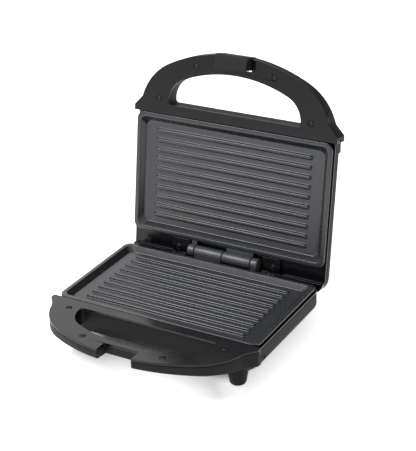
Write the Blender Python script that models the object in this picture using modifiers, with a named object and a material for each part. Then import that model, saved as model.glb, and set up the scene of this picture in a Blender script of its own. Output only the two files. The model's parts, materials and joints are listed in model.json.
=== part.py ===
"""A two-plate panini press, standing open on its four feet.

Units are metres, +Z is up and +Y is the back. The origin is on the floor, in the middle of the footprint.

The base and the lid are two halves of one design. Each half is drawn in its own half frame: x across,
y to the back with 0 at the middle of the plate, and z = 0 on the rim of the cooking plate, with the
outside of the half at negative z. The lid's half frame is turned over about Y, and it hangs from an
empty on the hinge axis.
"""

import math

import bmesh
import bpy
from mathutils import Matrix, Vector

# Cooking plates
PLATE_WIDTH = 0.218
PLATE_DEPTH = 0.125
PLATE_CORNER = 0.008
PLATE_RIM_WIDTH = 0.0035
PLATE_RIM_THICKNESS = 0.002
TRAY_TOP_INSET = 0.0048
TRAY_FLOOR_INSET = 0.0085
TRAY_CORNER = 0.006
PLATE_FLOOR = -0.005
PLATE_WALL = 0.003
RIB_PITCH = 0.0099
RIB_SIDE_MARGIN = 0.0220
RIB_FRONT_MARGIN = 0.0179
RIB_WIDTH = 0.004
RIB_HEIGHT = 0.0025
RIB_CHAMFER = 0.0012

# Hinge
BARREL_CLEAR_OF_PLATE = 0.0037
CLOSED_GAP = 0.004
BARREL_RADIUS = 0.0061
BARREL_LENGTH = 0.0314
RING_LENGTH = 0.0072
ARM_THICKNESS = 0.0032
ARM_INSIDE = 0.0006
BARREL_SPACING = 0.0008
STOP_RIB_SIZE = 0.010
STOP_RIB_INSIDE = 0.0295
PIN_RADIUS = 0.0025
OPEN_ANGLE = math.radians(99.5)

# Plan of the two halves
HANDLE_REACH = 0.070
SHOULDER_RADIUS = 0.057
SHOULDER_TURN = math.radians(75.0)
SHOULDER_AHEAD = 0.016
SHOULDER_INSIDE = 0.0056
EAR_PROUD = 0.0034
EAR_FRONT = 0.006
EAR_BACK = 0.0005
BODY_SIDE_MARGIN = 0.0005
REAR_CORNER = 0.014
BASE_BEHIND_PLATE = 0.0082
LID_BEHIND_PLATE = 0.0282

# Hand hole through each handle
RING_WIDTH = 0.020
HOLE_SIDE_INSIDE = 0.0304
HOLE_SIDE_RADIUS = 0.026
HOLE_BACK_AHEAD = 0.011
HOLE_CORNER = 0.003

# Shells
WALL = 0.0022
HANDLE_FLOOR = -0.0105
HANDLE_FLOOR_SLOPE = 0.12
HANDLE_FILLET = 0.0016
TUB_FLOOR = -0.030
BASE_SHOULDER = -0.0215
LID_SHOULDER = -0.016
BASE_SIDE_INSET = 0.0085
LID_SIDE_INSET = 0.013
TUB_FRONT_AHEAD = 0.009
TRAY_OVERLAP = 0.012
TUB_FRONT_INSET = 0.004
LID_REAR_INSET = 0.010
TUB_EDGE = 0.003
FOOT_HEIGHT = 0.014
FOOT_TOP_RADIUS = 0.010
FOOT_END_RADIUS = 0.008
FRONT_FOOT_INSIDE = 0.021
REAR_FOOT_INSIDE = 0.0385
FRONT_FOOT_AHEAD = 0.0005
REAR_FOOT_AHEAD = 0.014
PAD_RADIUS = 0.005
PAD_THICKNESS = 0.0016
PAD_DEPTH = 0.0012

# Bezels
FACE = -0.0005
BEZEL_THICKNESS = 0.0023
SIDE_LEVEL = -0.005
RISER_THICKNESS = 0.0025
NOTCH_WIDTH = 0.0365
NOTCH_DEPTH = 0.014
LATCH_LIP = 0.0018

# Latch
LATCH_WIDTH = 0.035
LATCH_WALL = 0.0022
LATCH_CHEEK = 0.0018
LATCH_PIVOT_DEPTH = 0.0065
LATCH_PIVOT_INSIDE = 0.006
LATCH_PIN_RADIUS = 0.0015
LATCH_BARREL_RADIUS = 0.0032
LATCH_TOP = 0.0042
LATCH_REACH_IN = 0.0015
LATCH_NOSE = 0.0019
LATCH_EDGE = 0.0018
LATCH_BACK_HEIGHT = 0.0064
WEB_THICKNESS = 0.0028
LATCH_SWING = math.radians(8.0)

# Screws
SCREW_RADIUS = 0.0015
SCREW_LENGTH = 0.009
HEAD_RADIUS = 0.0023
HEAD_HEIGHT = 0.0012
BOSS_RADIUS = 0.0038
INNER_SCREW_X = 0.043
OUTER_SCREW_INSIDE = 0.0194
REAR_SCREW_CLEAR_OF_HINGE = 0.0140
BASE_REAR_SCREW_BEHIND = 0.0042
LID_REAR_SCREW_BEHIND = 0.0095
HINGE_BLOCK_WIDTH = 0.0205
HINGE_BLOCK_CORNER = 0.002

# Inside
ELEMENT_RADIUS = 0.0033
ELEMENT_SIDE_MARGIN = 0.027
ELEMENT_END_MARGIN = 0.0265
ELEMENT_BEND = 0.014
ELEMENT_GAP_HALF = 0.030
SHEET = 0.0008
REFLECTOR_MARGIN = 0.006
REFLECTOR_DEPTH = 0.0185
PLATE_SCREW_X = 0.055
PLATE_BOSS_RADIUS = 0.0040
THERMOSTAT_RADIUS = 0.008
THERMOSTAT_HEIGHT = 0.0095
THERMOSTAT_FLANGE = 0.004
BLADE_X = 0.0045
BLADE_SIZE = (0.0008, 0.0048, 0.0065)
FUSE_MIDDLE = (-0.020, 0.020)
FUSE_LENGTH = 0.020
FUSE_RADIUS = 0.0022
FUSE_DROP = 0.0028
CLAMP_WIDTH = 0.005
CLAMP_FOOT = 0.0080
TERMINAL_SIZE = (0.032, 0.010, 0.0080)
TERMINAL_Y = 0.045
POLE_SPACING = 0.0105
POLE_DROP = 0.0035
WIRE_HOLE_RADIUS = 0.0018
CLAMP_HOLE_RADIUS = 0.0016
LEAD_RADIUS = 0.0013
CORD_RADIUS = 0.0034
GLAND_WALL = 0.0016
GLAND_COLLAR = 0.0014
GLAND_HEIGHT = 0.0075
GLAND_X = -0.032
GLAND_INSIDE = 0.018
LAMP_GAP = 0.0008
LAMP_LENGTH = 0.0050
LAMP_RADIUS = 0.0020
LAMP_BEHIND_FRONT = 0.022
HOLDER_THICKNESS = 0.0016
HOLDER_WIDTH = 0.007
LENS_RADIUS = 0.0045
LENS_SPACING = 0.022

# Fits
TOUCH = 0.0003
SLIDE = 0.0006
PLATE_FIT = 0.0008
PIN_FIT = 0.0003

# Placing in the world
RIM_HEIGHT = -TUB_FLOOR + FOOT_HEIGHT
PLATE_MIDDLE_Y = 0.0035
FAR = 0.4

plate_half = PLATE_WIDTH / 2
plate_front = -PLATE_DEPTH / 2
plate_back = PLATE_DEPTH / 2
hinge_y = plate_back + BARREL_RADIUS + BARREL_CLEAR_OF_PLATE
hinge_z = CLOSED_GAP / 2
hinge_reach = BARREL_LENGTH + RING_LENGTH + BARREL_SPACING * 2
body_half = plate_half + BODY_SIDE_MARGIN
handle_front = plate_front - HANDLE_REACH
plate_under = PLATE_FLOOR - PLATE_WALL
shell_front_top = FACE - BEZEL_THICKNESS - TOUCH
shell_side_top = SIDE_LEVEL - BEZEL_THICKNESS - TOUCH
element_z = plate_under - TOUCH - ELEMENT_RADIUS
reflector_z = -REFLECTOR_DEPTH

for old in list(bpy.data.objects):
    bpy.data.objects.remove(old)

parts = bpy.data.collections.new("panini_press")
cutters = bpy.data.collections.new("cutters")
for group in (parts, cutters):
    bpy.context.scene.collection.children.link(group)
cutters.hide_render = True


def material(name, colour, roughness, metallic=0.0):
    made = bpy.data.materials.new(name)
    made.use_nodes = True
    shader = made.node_tree.nodes["Principled BSDF"]
    shader.inputs["Base Color"].default_value = (*colour, 1.0)
    shader.inputs["Roughness"].default_value = roughness
    shader.inputs["Metallic"].default_value = metallic
    return made


black_plastic = material("black_plastic", (0.020, 0.020, 0.021), 0.42)
gloss_plastic = material("gloss_black_plastic", (0.014, 0.015, 0.018), 0.16)
coated_aluminium = material("coated_aluminium", (0.085, 0.088, 0.092), 0.48, 0.3)
bright_steel = material("bright_steel", (0.62, 0.62, 0.60), 0.28, 1.0)
dark_steel = material("dark_steel", (0.10, 0.10, 0.10), 0.35, 1.0)
sheet_steel = material("sheet_steel", (0.50, 0.51, 0.52), 0.40, 1.0)
ceramic = material("white_ceramic", (0.78, 0.76, 0.70), 0.60)
rubber = material("black_rubber", (0.015, 0.015, 0.015), 0.85)
red_lens = material("red_lens", (0.55, 0.02, 0.02), 0.15)
green_lens = material("green_lens", (0.02, 0.35, 0.06), 0.15)
glass = material("lamp_glass", (0.80, 0.55, 0.35), 0.10)
sleeve = material("woven_sleeve", (0.72, 0.70, 0.62), 0.80)


def as_object(name, mesh, collection=parts):
    made = bpy.data.objects.new(name, mesh)
    collection.objects.link(made)
    if collection is cutters:
        made.hide_render = True
        made.display_type = "WIRE"
    return made


def from_bmesh(name, shape, collection=parts):
    mesh = bpy.data.meshes.new(name)
    bmesh.ops.recalc_face_normals(shape, faces=shape.faces)
    shape.to_mesh(mesh)
    shape.free()
    return as_object(name, mesh, collection)


def from_curve(name, curve, collection, turn=None):
    """A welded mesh of a curve, turned by a matrix."""
    guide = bpy.data.objects.new(name, curve)
    cutters.objects.link(guide)
    graph = bpy.context.evaluated_depsgraph_get()
    mesh = bpy.data.meshes.new_from_object(guide.evaluated_get(graph))
    bpy.data.objects.remove(guide)
    shape = bmesh.new()
    shape.from_mesh(mesh)
    bpy.data.meshes.remove(mesh)
    bmesh.ops.remove_doubles(shape, verts=shape.verts, dist=1e-6)
    if turn:
        bmesh.ops.transform(shape, matrix=turn, verts=shape.verts)
    bmesh.ops.dissolve_limit(shape, angle_limit=0.005, verts=shape.verts, edges=shape.edges)
    return from_bmesh(name, shape, collection)


def slab(name, loops, low, high, collection=parts, turn=None):
    """The flat outline of closed loops of (x, y) points, standing from z = low to z = high."""
    curve = bpy.data.curves.new(name, "CURVE")
    curve.dimensions = "2D"
    curve.fill_mode = "BOTH"
    curve.extrude = (high - low) / 2
    for loop in loops:
        spline = curve.splines.new("POLY")
        spline.points.add(len(loop) - 1)
        for point, (x, y) in zip(spline.points, loop):
            point.co = (x, y, 0, 1)
        spline.use_cyclic_u = True
    lift = Matrix.Translation((0, 0, (high + low) / 2))
    return from_curve(name, curve, collection, turn @ lift if turn else lift)


def block(name, low, high, collection=cutters, corner=0.0, segments=5):
    """A box between two corners, with its upright edges rounded."""
    low, high = Vector(low), Vector(high)
    shape = bmesh.new()
    bmesh.ops.create_cube(shape, size=1.0)
    bmesh.ops.scale(shape, vec=high - low, verts=shape.verts)
    bmesh.ops.translate(shape, vec=(low + high) / 2, verts=shape.verts)
    if corner:
        upright = [e for e in shape.edges if abs(e.verts[0].co.z - e.verts[1].co.z) > 1e-6]
        bmesh.ops.bevel(
            shape,
            geom=upright,
            offset=corner,
            segments=segments,
            profile=0.5,
            affect="EDGES",
            material=-1,
        )
    return from_bmesh(name, shape, collection)


def cylinder(name, low, high, radius, collection=cutters, end_radius=None, segments=32):
    """A round bar or cone from one point to another."""
    low, high = Vector(low), Vector(high)
    shape = bmesh.new()
    bmesh.ops.create_cone(
        shape,
        cap_ends=True,
        segments=segments,
        radius1=radius,
        radius2=radius if end_radius is None else end_radius,
        depth=(high - low).length,
    )
    turn = (high - low).to_track_quat("Z", "Y").to_matrix().to_4x4()
    place = Matrix.Translation((low + high) / 2) @ turn
    bmesh.ops.transform(shape, matrix=place, verts=shape.verts)
    made = from_bmesh(name, shape, collection)
    smooth(made)
    return made


def turned(name, profile, centre, collection=parts, steps=32):
    """A profile of (radius, z) points, given from the top down, turned about an upright axis."""
    shape = bmesh.new()
    points = [shape.verts.new((radius, 0, z)) for radius, z in profile]
    for first, second in zip(points, points[1:]):
        shape.edges.new((first, second))
    mesh = bpy.data.meshes.new(name)
    shape.to_mesh(mesh)
    shape.free()
    made = as_object(name, mesh, collection)
    made.location = centre
    screw = made.modifiers.new("Turn", "SCREW")
    screw.steps = steps
    screw.render_steps = steps
    screw.use_merge_vertices = True
    screw.merge_threshold = 0.00001
    return made


def smooth(item):
    item.data.shade_smooth()
    item.data.set_sharp_from_angle(angle=math.radians(40))


def boolean(item, operation, others):
    for other in others:
        step = item.modifiers.new(f"{operation.title()} {other.name}"[:60], "BOOLEAN")
        step.operation = operation
        step.solver = "EXACT"
        step.object = other
    return item


def cut(item, *others):
    return boolean(item, "DIFFERENCE", others)


def join(item, *others):
    return boolean(item, "UNION", others)


def weld(item):
    """Merges the points that a cut leaves on top of each other."""
    step = item.modifiers.new("Weld", "WELD")
    step.merge_threshold = 0.00002
    return item


def rounded(item, width, segments=2, angle=40):
    step = item.modifiers.new("Rounded edges", "BEVEL")
    step.width = width
    step.segments = segments
    step.limit_method = "ANGLE"
    step.angle_limit = math.radians(angle)
    return item


def arc(centre, radius, start, end, count):
    """Points round a centre. Angle 0 points to the front (-y) and it grows towards +x."""
    steps = [start + (end - start) * i / count for i in range(count + 1)]
    return [(centre[0] + radius * math.sin(a), centre[1] - radius * math.cos(a)) for a in steps]


def mirrored(right):
    """A closed loop from its right-hand half, which starts and may end on x = 0."""
    left = [(-x, y) for x, y in reversed(right) if x > 1e-7]
    return right + left


# The shoulder arc ends beside the ear. The handle's front arc is the one tangent to both shoulders.
shoulder_end = (body_half - SHOULDER_INSIDE, plate_front - SHOULDER_AHEAD)
shoulder_x = shoulder_end[0] - SHOULDER_RADIUS * math.sin(SHOULDER_TURN)
shoulder_y = shoulder_end[1] + SHOULDER_RADIUS * math.cos(SHOULDER_TURN)
tangent_y = handle_front + SHOULDER_RADIUS
handle_centre_y = (shoulder_x**2 + shoulder_y**2 - tangent_y**2) / (2 * (shoulder_y - tangent_y))
handle_radius = handle_centre_y - handle_front
handle_turn = math.atan2(shoulder_x, handle_centre_y - shoulder_y)


def plan(back, inset=0.0, ears=True):
    """The outline of one half from above: arched handle, shoulders, ears, sides and rear corners."""
    right = arc((0.0, handle_centre_y), handle_radius - inset, 0, handle_turn, 12)
    shoulder = arc((shoulder_x, shoulder_y), SHOULDER_RADIUS - inset, handle_turn, SHOULDER_TURN, 10)
    right += shoulder[1:]
    if ears:
        right.append((body_half + EAR_PROUD, plate_front - EAR_FRONT))
        right.append((body_half + EAR_PROUD, plate_front - EAR_BACK))
    side = body_half - inset
    right.append((side, plate_front + EAR_BACK * 3))
    corner = (body_half - REAR_CORNER, back - REAR_CORNER)
    right += arc(corner, REAR_CORNER - inset, math.pi / 2, math.pi, 8)
    return mirrored(right)


def hand_hole(grow=0.0):
    """The D-shaped outline of the hole behind the handle."""
    radius = handle_radius - RING_WIDTH
    side_x = shoulder_end[0] - HOLE_SIDE_INSIDE - HOLE_SIDE_RADIUS
    turn = math.asin(side_x / (radius - HOLE_SIDE_RADIUS))
    side = (side_x, handle_centre_y - (radius - HOLE_SIDE_RADIUS) * math.cos(turn))
    corner_y = plate_front - HOLE_BACK_AHEAD - HOLE_CORNER
    end = math.acos((side[1] - corner_y) / HOLE_SIDE_RADIUS)
    right = arc((0.0, handle_centre_y), radius + grow, 0, turn, 9)
    right += arc(side, HOLE_SIDE_RADIUS + grow, turn, end, 8)[1:]
    corner = (side[0] + HOLE_SIDE_RADIUS * math.sin(end) - HOLE_CORNER, corner_y)
    right += arc(corner, HOLE_CORNER + grow, math.pi / 2, math.pi, 4)[1:]
    return mirrored(right)


# Half frames: every piece of a half is placed by its parent empty.
base_frame = bpy.data.objects.new("base_frame", None)
lid_hinge = bpy.data.objects.new("lid_hinge", None)
lid_frame = bpy.data.objects.new("lid_frame", None)
latch_pivot = bpy.data.objects.new("latch_pivot", None)
for empty in (base_frame, lid_hinge, lid_frame, latch_pivot):
    parts.objects.link(empty)

base_frame.location = (0, PLATE_MIDDLE_Y, RIM_HEIGHT)
lid_hinge.location = (0, PLATE_MIDDLE_Y + hinge_y, RIM_HEIGHT + hinge_z)
lid_hinge.rotation_euler = (-OPEN_ANGLE, 0, 0)
lid_frame.parent = lid_hinge
lid_frame.location = (0, -hinge_y, hinge_z)
lid_frame.rotation_euler = (0, math.pi, 0)

latch_y = handle_front + LATCH_PIVOT_INSIDE
latch_z = -LATCH_PIVOT_DEPTH
latch_pivot.parent = lid_frame
latch_pivot.location = (0, latch_y, latch_z)
latch_pivot.rotation_euler = (LATCH_SWING, 0, 0)


def place(item, frame, finish, name=None):
    item.parent = frame
    item.data.materials.clear()
    item.data.materials.append(finish)
    if name:
        item.name = name
    return item


def put(item, frame):
    """Cutters take the same half frame as the piece that they cut."""
    item.parent = frame
    return item


def notch_cutter(frame, name, depth, half=NOTCH_WIDTH / 2):
    low = (-half, handle_front - 0.05, -0.05)
    return put(block(name, low, (half, handle_front + depth, 0.05)), frame)


def screw_places(rear_behind):
    """(name, x, y) of the six screws that hold a bezel to its shell."""
    rear_y = plate_back + rear_behind
    ring_middle = handle_radius - RING_WIDTH / 2
    inner_y = handle_centre_y - math.sqrt(ring_middle**2 - INNER_SCREW_X**2)
    outer_x, outer_y = shoulder_end[0] - OUTER_SCREW_INSIDE, shoulder_end[1]
    rear_x = hinge_reach + REAR_SCREW_CLEAR_OF_HINGE
    found = []
    for side, word in ((-1, "left"), (1, "right")):
        found.append((f"inner_{word}", side * INNER_SCREW_X, inner_y))
        found.append((f"outer_{word}", side * outer_x, outer_y))
        found.append((f"rear_{word}", side * rear_x, rear_y))
    return found


def handle_floor(y):
    return HANDLE_FLOOR - HANDLE_FLOOR_SLOPE * (y - handle_front)


def sloped_slab(name, frame, loops, lift, top, fillet=0.0):
    """The handle's tray as a solid: its underside falls gently towards the body."""
    solid = slab(name, loops, -0.05, top, cutters)
    shape = bmesh.new()
    shape.from_mesh(solid.data)
    normal = Vector((0, -HANDLE_FLOOR_SLOPE, -1)).normalized()
    found = bmesh.ops.bisect_plane(
        shape,
        geom=shape.verts[:] + shape.edges[:] + shape.faces[:],
        plane_co=(0, handle_front, HANDLE_FLOOR + lift),
        plane_no=normal,
        clear_outer=True,
    )
    rim = [g for g in found["geom_cut"] if isinstance(g, bmesh.types.BMEdge)]
    bmesh.ops.triangle_fill(shape, edges=rim, use_beauty=True)
    bmesh.ops.recalc_face_normals(shape, faces=shape.faces)
    bmesh.ops.dissolve_limit(shape, angle_limit=0.005, verts=shape.verts, edges=shape.edges)
    if fillet:
        floor = min(shape.faces, key=lambda face: face.normal.z)
        bmesh.ops.bevel(
            shape,
            geom=floor.edges[:],
            offset=fillet,
            segments=2,
            profile=0.5,
            affect="EDGES",
            material=-1,
            clamp_overlap=True,
        )
    shape.to_mesh(solid.data)
    shape.free()
    return put(solid, frame)


def tub(name, frame, back, taper, inset, top):
    """The deep part under the plate: upright sides down to a shoulder, then drawn in to the floor."""
    shoulder, side_inset, rear_inset = taper
    low = (-body_half + inset, plate_front - TUB_FRONT_AHEAD + inset, TUB_FLOOR + inset)
    high = (body_half - inset, back - inset, top)
    solid = block(name, low, high, cutters, REAR_CORNER - inset)
    shape = bmesh.new()
    shape.from_mesh(solid.data)
    bmesh.ops.bisect_plane(
        shape,
        geom=shape.verts[:] + shape.edges[:] + shape.faces[:],
        plane_co=(0, 0, shoulder + inset * 0.4),
        plane_no=(0, 0, 1),
    )
    middle_y = (low[1] + high[1]) / 2
    for vert in shape.verts:
        if vert.co.z > TUB_FLOOR + inset + 1e-6:
            continue
        vert.co.x -= math.copysign(side_inset, vert.co.x)
        if vert.co.y > middle_y:
            vert.co.y -= rear_inset
        else:
            vert.co.y += TUB_FRONT_INSET
    shape.to_mesh(solid.data)
    shape.free()
    return put(solid, frame)


def foot_places(back):
    for side, word in ((-1, "left"), (1, "right")):
        yield f"front_{word}", side * (body_half - FRONT_FOOT_INSIDE), plate_front - FRONT_FOOT_AHEAD
        yield f"rear_{word}", side * (body_half - REAR_FOOT_INSIDE), back - REAR_FOOT_AHEAD


def foot(name, frame, x, y):
    """A tapered post with a rounded end, and a recess for its pad."""
    floor = TUB_FLOOR - FOOT_HEIGHT + PAD_THICKNESS - PAD_DEPTH
    top = TUB_FLOOR + 0.012
    fillet = 0.002
    profile = [(0.0, top), (FOOT_TOP_RADIUS, top), (FOOT_TOP_RADIUS, TUB_FLOOR)]
    for i in range(3):
        turn = math.pi / 2 * i / 2
        radius = FOOT_END_RADIUS - fillet + fillet * math.cos(turn)
        profile.append((radius, floor + fillet - fillet * math.sin(turn)))
    profile += [(PAD_RADIUS + TOUCH, floor), (PAD_RADIUS + TOUCH, floor + PAD_DEPTH + TOUCH)]
    profile.append((0.0, floor + PAD_DEPTH + TOUCH))
    return put(turned(name, profile, (x, y, 0), cutters, 16), frame)


def half_shell(name, frame, back, taper, places, feet):
    """One outer shell: handle tray and tub in one moulding, open towards the plate."""
    top = shell_front_top
    tray = sloped_slab(f"{name}_tray", frame, [plan(back)], 0.0, 0.01, HANDLE_FILLET)
    tray_back = plate_front + TRAY_OVERLAP
    behind_tray = put(block(f"{name}_behind_tray", (-FAR, tray_back, -FAR), (FAR, FAR, FAR)), frame)
    cut(tray, behind_tray)
    outer = tub(f"{name}_tub", frame, back, taper, 0.0, 0.01)
    rounded(outer, TUB_EDGE, 2, 25)
    join(outer, tray)
    if feet:
        join(outer, *[foot(f"{name}_foot_{w}", frame, x, y) for w, x, y in foot_places(back)])

    hollow = sloped_slab(f"{name}_tray_hollow", frame, [plan(back, WALL, False)], WALL, 0.02)
    hole_wall = put(slab(f"{name}_hole_wall", [hand_hole(WALL)], -0.06, 0.06, cutters), frame)
    notch_depth = NOTCH_DEPTH + LATCH_LIP
    notch_wall = notch_cutter(frame, f"{name}_notch_wall", notch_depth + WALL, NOTCH_WIDTH / 2 + WALL)
    hollow_back = tray_back - WALL
    behind_hollow = put(block(f"{name}_behind_hollow", (-FAR, hollow_back, -FAR), (FAR, FAR, FAR)), frame)
    cut(hollow, hole_wall, notch_wall, behind_hollow)
    inner = tub(f"{name}_tub_hollow", frame, back, taper, WALL, 0.02)
    cut(outer, hollow, inner)

    for word, x, y in places:
        floor = TUB_FLOOR if y > 0 else handle_floor(y)
        start, end = (x, y, floor + WALL / 2), (x, y, -FACE)
        boss = put(cylinder(f"{name}_boss_{word}", start, end, BOSS_RADIUS, segments=16), frame)
        join(outer, boss)
        bore_low = (x, y, FACE - HEAD_HEIGHT - SCREW_LENGTH - SLIDE)
        bore = cylinder(
            f"{name}_bore_{word}", bore_low, (x, y, 0.01), SCREW_RADIUS + TOUCH, segments=10
        )
        cut(outer, put(bore, frame))

    through = put(slab(f"{name}_hand_hole", [hand_hole()], -0.06, 0.06, cutters), frame)
    cut(outer, through, notch_cutter(frame, f"{name}_notch", notch_depth))
    step_y = plate_front - EAR_BACK - RISER_THICKNESS - TOUCH
    cut(
        outer,
        put(block(f"{name}_top_trim", (-FAR, -FAR, top), (FAR, FAR, FAR)), frame),
        put(block(f"{name}_side_trim", (-FAR, step_y, shell_side_top), (FAR, FAR, FAR)), frame),
    )
    parts.objects.link(outer)
    cutters.objects.unlink(outer)
    outer.hide_render = False
    outer.display_type = "TEXTURED"
    return place(outer, frame, black_plastic, name)


def hinge_clearance(frame, name):
    reach = hinge_reach + SLIDE
    low = (-reach, hinge_y, hinge_z)
    return put(cylinder(name, low, (reach, hinge_y, hinge_z), BARREL_RADIUS + SLIDE, segments=24), frame)


def bezel(name, frame, back, places, lip):
    """The face plate: high on the handle, stepped down round the cooking plate."""
    under = SIDE_LEVEL - BEZEL_THICKNESS
    made = slab(name, [plan(back), hand_hole()], under, FACE)
    riser_front = plate_front - EAR_BACK - RISER_THICKNESS
    riser_back = plate_front - EAR_BACK
    rear_level_end = FAR
    if lip:
        rear_level_end = hinge_y + BARREL_RADIUS + SLIDE
    opening_x = plate_half - PLATE_RIM_WIDTH + PLATE_FIT
    opening_y = PLATE_DEPTH / 2 - PLATE_RIM_WIDTH + PLATE_FIT
    cut(
        made,
        put(
            block(
                f"{name}_hollow",
                (-FAR, -FAR, under - 0.01),
                (FAR, riser_front, FACE - BEZEL_THICKNESS),
            ),
            frame,
        ),
        put(
            block(f"{name}_step", (-FAR, riser_back, SIDE_LEVEL), (FAR, rear_level_end, FAR)), frame
        ),
        put(
            block(
                f"{name}_opening",
                (-opening_x, -opening_y, -0.05),
                (opening_x, opening_y, 0.05),
                corner=PLATE_CORNER,
            ),
            frame,
        ),
        notch_cutter(frame, f"{name}_notch", NOTCH_DEPTH),
        hinge_clearance(frame, f"{name}_hinge_clearance"),
    )
    block_back = back - 2 * TOUCH
    if lip:
        block_back = rear_level_end + WALL
    start = hinge_reach + SLIDE + TOUCH
    for side, word in ((-1, "left"), (1, "right")):
        ends = sorted((side * start, side * (start + HINGE_BLOCK_WIDTH)))
        low = (ends[0], plate_back + PLATE_FIT, under + BEZEL_THICKNESS / 2)
        high = (ends[1], block_back, FACE - TOUCH)
        raised = block(f"{name}_hinge_block_{word}", low, high, corner=HINGE_BLOCK_CORNER, segments=3)
        join(made, put(raised, frame))
    for word, x, y in places:
        seat = FACE - HEAD_HEIGHT - SLIDE / 2
        sink = cylinder(
            f"{name}_sink_{word}", (x, y, seat), (x, y, 0.02), HEAD_RADIUS + SLIDE, segments=16
        )
        hole = cylinder(
            f"{name}_pass_{word}", (x, y, -0.03), (x, y, 0.02), SCREW_RADIUS + SLIDE, segments=10
        )
        cut(made, put(sink, frame), put(hole, frame))
    return place(made, frame, gloss_plastic)


def screw_mesh():
    """A pan-head screw: its seat is at z = 0 and its point at the bottom."""
    shape = bmesh.new()
    rise = HEAD_HEIGHT
    profile = [
        (0.0, rise),
        (HEAD_RADIUS * 0.7, rise),
        (HEAD_RADIUS, rise * 0.6),
        (HEAD_RADIUS, 0.0),
        (SCREW_RADIUS, 0.0),
        (SCREW_RADIUS, -SCREW_LENGTH + 0.0015),
        (0.0, -SCREW_LENGTH),
    ]
    points = [shape.verts.new((radius, 0, z)) for radius, z in profile]
    edges = [shape.edges.new(pair) for pair in zip(points, points[1:])]
    bmesh.ops.spin(
        shape,
        geom=points + edges,
        axis=(0, 0, 1),
        cent=(0, 0, 0),
        steps=12,
        angle=math.tau,
        use_merge=True,
    )
    bmesh.ops.remove_doubles(shape, verts=shape.verts, dist=1e-6)
    bmesh.ops.recalc_face_normals(shape, faces=shape.faces)
    mesh = bpy.data.meshes.new("bezel_screw")
    shape.to_mesh(mesh)
    shape.free()
    mesh.shade_smooth()
    mesh.set_sharp_from_angle(angle=math.radians(40))
    mesh.materials.append(dark_steel)
    return mesh


def bezel_screws(half, frame, places, mesh):
    for word, x, y in places:
        item = as_object(f"{half}_screw_{word}", mesh)
        item.location = (x, y, FACE - HEAD_HEIGHT + TOUCH / 2)
        item.parent = frame


def grill_plate(name, frame):
    """A cast plate: rim, shallow tray, ribs across it, hinge knuckles behind and two posts under it."""
    inner_x = plate_half - PLATE_RIM_WIDTH
    inner_y = PLATE_DEPTH / 2 - PLATE_RIM_WIDTH
    rim = block(
        name,
        (-plate_half, plate_front, -PLATE_RIM_THICKNESS),
        (plate_half, plate_back, 0),
        parts,
        PLATE_CORNER,
    )
    dish = put(
        block(
            f"{name}_dish",
            (-inner_x, -inner_y, plate_under),
            (inner_x, inner_y, -PLATE_RIM_THICKNESS / 2),
            corner=TRAY_CORNER,
        ),
        frame,
    )
    floor_x = plate_half - TRAY_FLOOR_INSET
    floor_y = plate_back - TRAY_FLOOR_INSET
    above = 0.01
    low, high = (-floor_x, -floor_y, PLATE_FLOOR), (floor_x, floor_y, above)
    inside = put(block(f"{name}_inside", low, high, corner=TRAY_CORNER), frame)
    lean = (TRAY_FLOOR_INSET - TRAY_TOP_INSET) * (above - PLATE_FLOOR) / -PLATE_FLOOR
    for vert in inside.data.vertices:
        if vert.co.z > 0:
            vert.co.x += math.copysign(lean, vert.co.x)
            vert.co.y += math.copysign(lean, vert.co.y)
    join(rim, dish)
    cut(rim, inside)

    half_rib = plate_half - RIB_SIDE_MARGIN - RIB_WIDTH / 2
    rib_steps = int((PLATE_DEPTH - 2 * RIB_FRONT_MARGIN) / RIB_PITCH)
    for i in range(rib_steps + 1):
        y = (i - rib_steps / 2) * RIB_PITCH
        right = arc((half_rib, y), RIB_WIDTH / 2, 0, math.pi, 4)
        left = arc((-half_rib, y), RIB_WIDTH / 2, math.pi, math.tau, 4)
        low = PLATE_FLOOR - PLATE_WALL / 2
        rib = slab(f"{name}_rib_{i}", [right + left], low, PLATE_FLOOR + RIB_HEIGHT, cutters)
        rounded(rib, RIB_CHAMFER, 1, 60)
        join(rim, put(rib, frame))

    reach = BARREL_LENGTH + BARREL_SPACING * 0.5
    barrels = (
        (-reach, -BARREL_SPACING / 2),
        (reach + BARREL_SPACING, reach + BARREL_SPACING + RING_LENGTH),
    )
    arm_back = hinge_y - BARREL_RADIUS * 0.3
    arm_top = -PLATE_RIM_THICKNESS * 0.4
    for i, (left, right) in enumerate(barrels):
        start, end = (left, hinge_y, hinge_z), (right, hinge_y, hinge_z)
        tube = cylinder(f"{name}_barrel_{i}", start, end, BARREL_RADIUS, segments=24)
        low = (left + ARM_INSIDE, plate_back - PLATE_RIM_WIDTH + TOUCH, arm_top - ARM_THICKNESS)
        arm = block(f"{name}_arm_{i}", low, (right - ARM_INSIDE, arm_back, arm_top))
        join(rim, put(arm, frame), put(tube, frame))
    start, end = (-FAR, hinge_y, hinge_z), (FAR, hinge_y, hinge_z)
    bore = cylinder(f"{name}_bore", start, end, PIN_RADIUS + PIN_FIT, segments=16)
    cut(rim, put(bore, frame))

    for side, word in ((-1, "left"), (1, "right")):
        x = side * PLATE_SCREW_X
        post_low = (x, 0, reflector_z + SHEET + TOUCH)
        post = cylinder(
            f"{name}_post_{word}",
            post_low,
            (x, 0, plate_under + 0.001),
            PLATE_BOSS_RADIUS,
            segments=14,
        )
        hole = cylinder(
            f"{name}_post_hole_{word}",
            (x, 0, -0.03),
            (x, 0, plate_under),
            SCREW_RADIUS + TOUCH,
            segments=10,
        )
        join(rim, put(post, frame))
        cut(rim, put(hole, frame))
    return place(rim, frame, coated_aluminium)


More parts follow.
